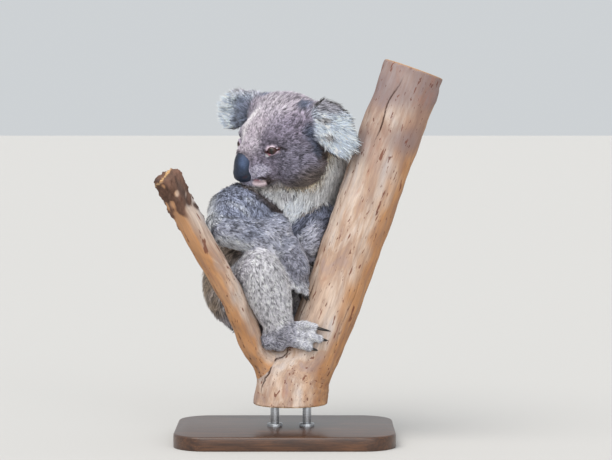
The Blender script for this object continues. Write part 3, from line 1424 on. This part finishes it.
# Lifts those of the given ends that are within `gap` of the bark, for tufts that grow beside it.
def keepOffBark(beside, ends, gap):
    ends = ends.copy()
    for i in beside:
        at, normal, _, _ = barkTree.find_nearest(Vector(ends[i]))
        if (Vector(ends[i]) - at).dot(normal) < gap:
            ends[i] = at + normal * gap
    return ends


def raised(flow, normal, lean):
    return np.cos(lean)[:, None] * flow + np.sin(lean)[:, None] * normal


def outwards(vectors, normal):
    vectors = unit(vectors)
    return vectors * np.sign((vectors * normal).sum(1))[:, None]


# A thin closed lock: narrow at its root, widest halfway, bent there and pointed, its tip drawn to its leader's.
def lockCorners(root, normal, flow, side, size, half, lean, length, leader, beside):
    foot = root - 0.4 * mm * normal
    middle = foot + 0.48 * size * raised(flow, normal, lean * 1.35 + 0.1)
    tip = middle + 0.52 * size * raised(flow, normal, lean * 0.45)
    gather = (0.42 * step(length, 4, 11))[:, None]
    tip = tip + gather * (tip[leader] - tip)
    middle = middle + 0.3 * gather * (middle[leader] - middle)
    middle, tip = keepOffBark(beside, middle, 0.5 * mm), keepOffBark(beside, tip, 0.4 * mm)
    up = outwards(np.cross(tip - foot, side), normal)
    return [foot, middle - half * side, middle + half * side, middle + 0.8 * half * up, tip], flow


# A short straight tuft with its crest near the root, for the face and paws.
def stubbleCorners(root, normal, flow, side, size, half, lean, length, leader, beside):
    ahead = raised(flow, normal, lean)
    foot = root - 0.1 * size * normal
    tip = keepOffBark(beside, foot + size * ahead, 0.5 * mm)
    crest = foot + 0.45 * size * ahead + 0.8 * half * outwards(np.cross(side, ahead), normal)
    return [foot - half * side, foot + half * side, crest, tip], ahead


# One mesh of tufts of a kind. `flow` heads each tuft, and `values` are its length, width and lift.
def growTufts(kind, name, root, normal, flow, values, shade, uv):
    style = tuftKinds[kind]
    count = len(root)
    length, width, lift, _ = values.T
    low, high = coat["sizes"]
    draw = np.random.default_rng(len(name) * style["seed"] + count)
    lean = radians(1) * (lift + draw.normal(0, style["leanSpread"], count))
    flow = unit(flow + draw.normal(0, style["turnSpread"], count)[:, None] * np.cross(normal, flow))
    side = unit(np.cross(normal, flow))
    size = (length * draw.uniform(low, high, count) * mm)[:, None]
    half = (width * draw.uniform(style["thinnest"], high, count) * mm / 2)[:, None]
    leader = lockLeaders(root, draw)
    beside = [i for i, p in enumerate(root) if barkTree.find_nearest(Vector(p), coat["barkReach"])[0] is not None]
    shape = lockCorners if kind == "coat" else stubbleCorners
    corners, ahead = shape(root, normal, flow, side, size, half, lean, length, leader, beside)
    faces = np.arange(count)[:, None, None] * len(corners) + np.array(style["faces"])
    light = shade @ np.array((0.21, 0.72, 0.07))
    bright = grizzle(root, leader, light, draw)
    dark, rise = style["root"]
    base = dark + rise * step(light, 0.3, 0.85)
    levels = np.stack([constant + slope * base for constant, slope in style["levels"]], axis=1)
    shades = np.clip(shade[:, None, :] * (bright[:, None] * levels)[:, :, None], 0, 0.95)
    sides = np.array(style["sides"])[None, :, None]
    normals = unit(normal[:, None, :] + sides * side[:, None, :] + 0.12 * ahead[:, None, :])
    uvs = uv[:, None, :] + coat["patchSize"] * np.array(style["patch"])
    points = np.stack(corners, axis=1).reshape(-1, 3)
    return buildMesh(
        name, points, faces.reshape(-1, 3), shades.reshape(-1, 3), normals.reshape(-1, 3), uvs.reshape(-1, 2))


# Fur and the skin under it: the marking's colour, darker in fine spots.
def furMaterial(name, scale, detail, depth, **inputs):
    material, tree, shader = newMaterial(name, **inputs)
    fine = noise(tree, objectPlace(tree), scale, detail)
    tone = stain(tree, attribute(tree, "furColour"), coat["darkGrain"], fine, (0.3, depth), (0.7, 0.0))
    setInputs(tree, shader, Base_Color=tone)
    return material, tree, shader, fine


def coatMaterial():
    return furMaterial("koalaCoat", 900, 2, 0.22, Roughness=0.85, Specular_IOR_Level=0.12, Sheen_Weight=0.18,
                       Sheen_Roughness=0.55)[0]


def skinMaterial():
    material, tree, shader, fine = furMaterial("koalaSkin", 700, 3, 0.35, Roughness=0.8, Specular_IOR_Level=0.15)
    bump(tree, shader, fine, 0.6, 0.0008)
    return material


def dressSkin(obj):
    unwrapSkin(obj)
    points, normals, edges = pointsOf(obj.data), normalsOf(obj.data), edgesOf(obj.data)
    corners = valuesOf(obj.data.polygons, "vertices", 3, np.int32)
    uvs = valuesOf(obj.data.uv_layers["OFBake"].data, "uv", 2).reshape(-1, 3, 2).astype(float)
    colours = markings(points, normals, skinWeights)
    values = hairValues(points, skinWeights)
    bareSkin = (values[:, 3] == 0)[:, None]
    storeColour(obj.data, "furColour", linear(colours) * np.where(bareSkin, 1.0, 0.45))
    finishPiece(obj, skinMaterial(), fleshNodes)
    faces, shares = spreadRoots(points, corners, values[:, 3])

    def atRoots(field):
        return (field[corners[faces]] * shares[:, :, None]).sum(1)

    flow = hairFlow(points, normals, skinOwners, edges)
    root, normal, own = atRoots(points), unit(atRoots(normals)), atRoots(values)
    way = flattened(atRoots(flow), normal)
    shade = linear(np.clip(atRoots(colours), 0, 255))
    uv = (uvs[faces] * shares[:, :, None]).sum(1)
    owner = skinOwners[corners[faces, 0]]
    material = coatMaterial()
    total = 0
    for index, node in enumerate(fleshNodes):
        stubble = node.startswith(("hand", "foot")) | ((node == "head") & (own[:, 0] <= coat["stubbleUnder"]))
        for kind, chosen in (("coat", (owner == index) & ~stubble), ("nap", (owner == index) & stubble)):
            chosen = np.flatnonzero(chosen)
            chosen = chosen[np.argsort(root[chosen, 2], kind="stable")]
            lots = int(np.ceil(len(chosen) / tuftKinds[kind]["most"]))
            for lot in range(lots):
                some = np.array_split(chosen, lots)[lot]
                name = f"{kind}_{node}" + (f"_{lot + 1}" if lots > 1 else "")
                made = growTufts(kind, name, root[some], normal[some], way[some], own[some], shade[some], uv[some])
                finishPiece(made, material)
                total += len(made.data.polygons)
    print("koala: coat,", len(root), "tufts,", total, "faces")


dressSkin(skin)
